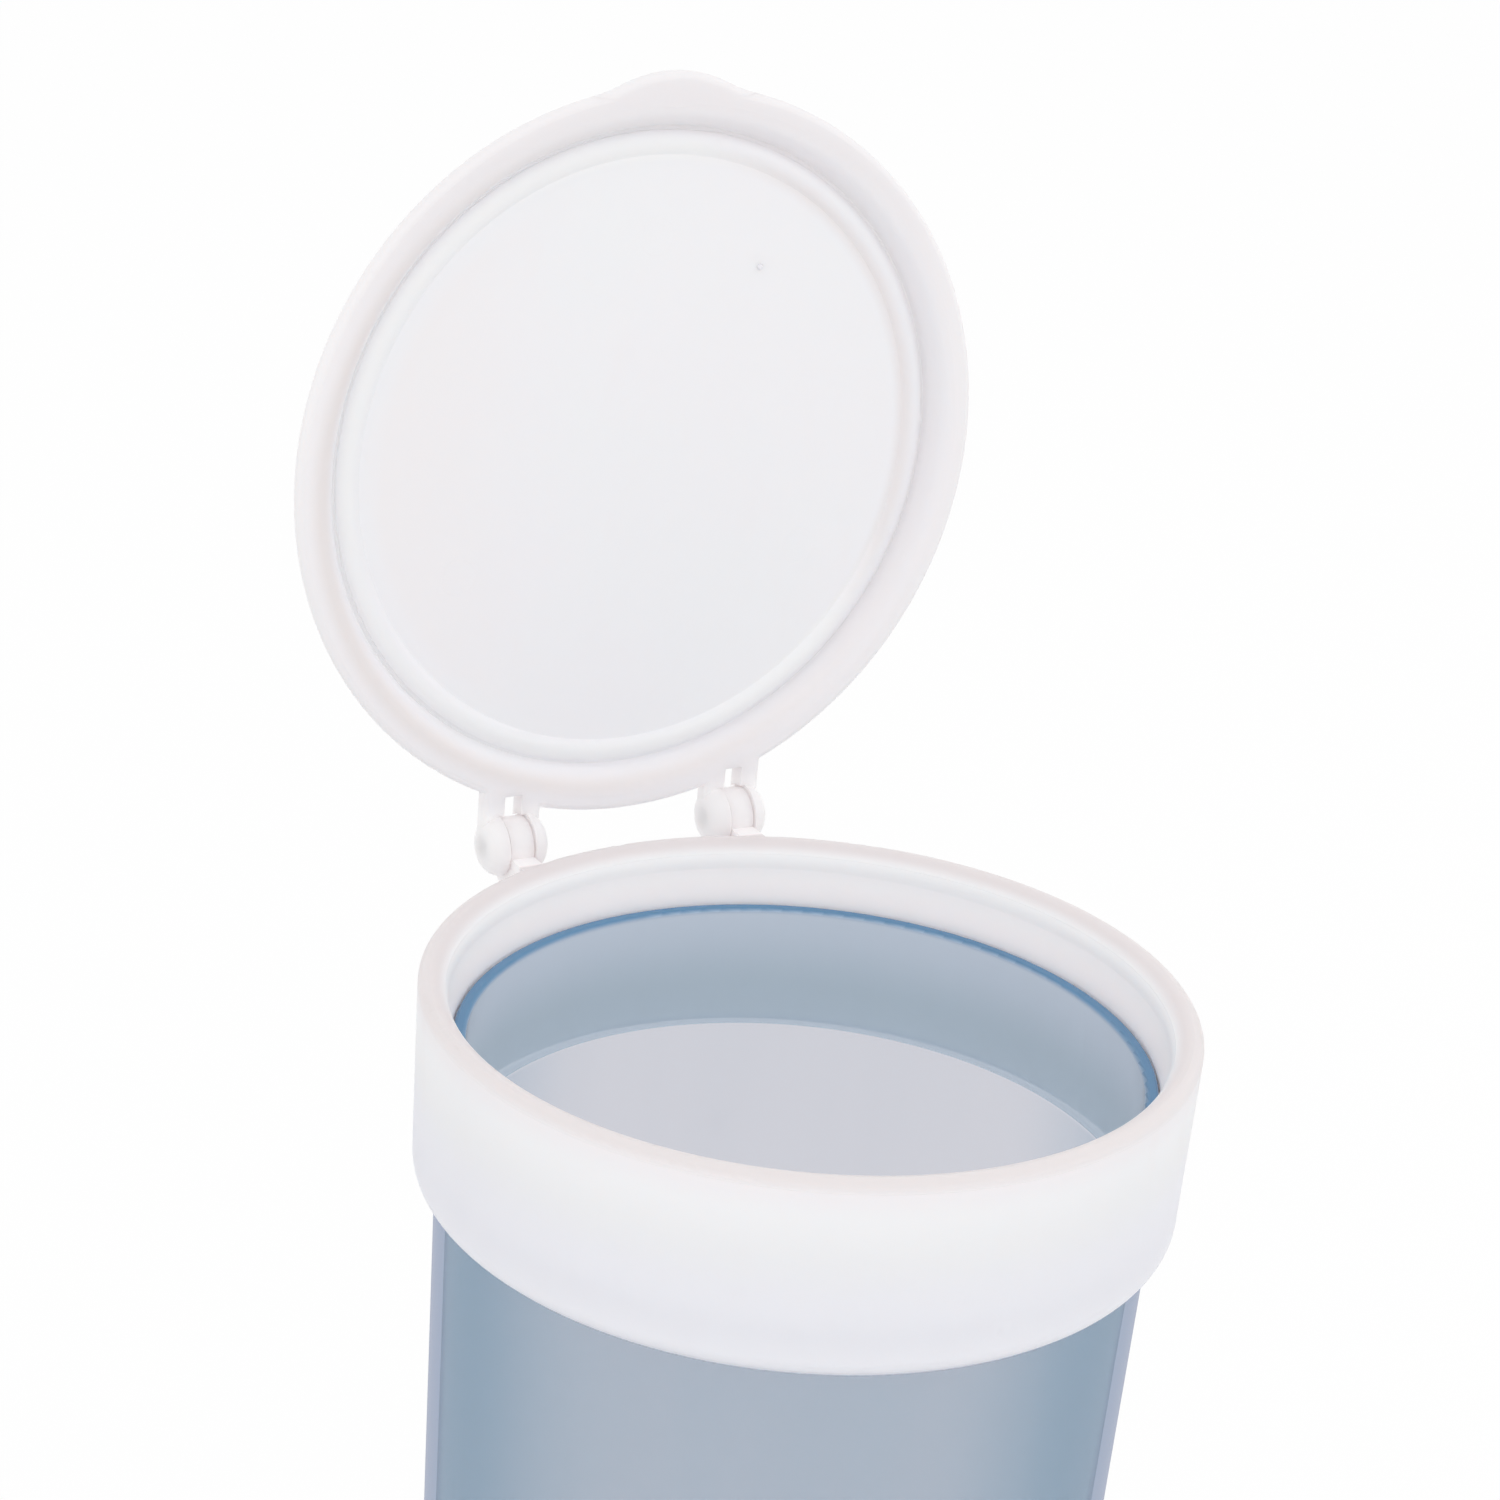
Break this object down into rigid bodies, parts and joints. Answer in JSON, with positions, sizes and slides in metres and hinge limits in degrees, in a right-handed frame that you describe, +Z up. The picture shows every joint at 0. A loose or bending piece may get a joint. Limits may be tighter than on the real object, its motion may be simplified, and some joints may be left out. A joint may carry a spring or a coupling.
{
  "type": "urine bottle",
  "caption": "Wide-mouth translucent urine bottle with a thick white collar and a hinged flip lid with a thumb tab, shown open.",
  "frame": {"origin": "centre of the bottle's base, on the surface it stands on", "axes": "+Z up along the bottle's axis; +Y towards the hinge at the back; +X along the hinge axis, to the right seen from the front"},
  "size_m": [0.101, 0.108, 0.3195],
  "materials": {
    "blue_plastic": "translucent blue, smooth",
    "white_plastic": "milky white, satin",
    "lid_plastic": "milky white, satin, slightly translucent",
    "seal_rubber": "soft milky silicone, matte",
    "pin_plastic": "smooth natural white"
  },
  "bodies": {
    "bottle": {"bottle_body": "blue_plastic", "collar": "white_plastic", "collar_seal": "seal_rubber", "hinge_pin_left": "pin_plastic", "hinge_pin_right": "pin_plastic"},
    "lid": {"lid": "lid_plastic"}
  },
  "joints": [
    {"name": "lid_hinge", "type": "hinge", "parent": "bottle", "child": "lid", "pos_m": [0, 0.05339, 0.2139], "axis": [-1, 0, 0], "range_deg": [-90, 90]}
  ]
}
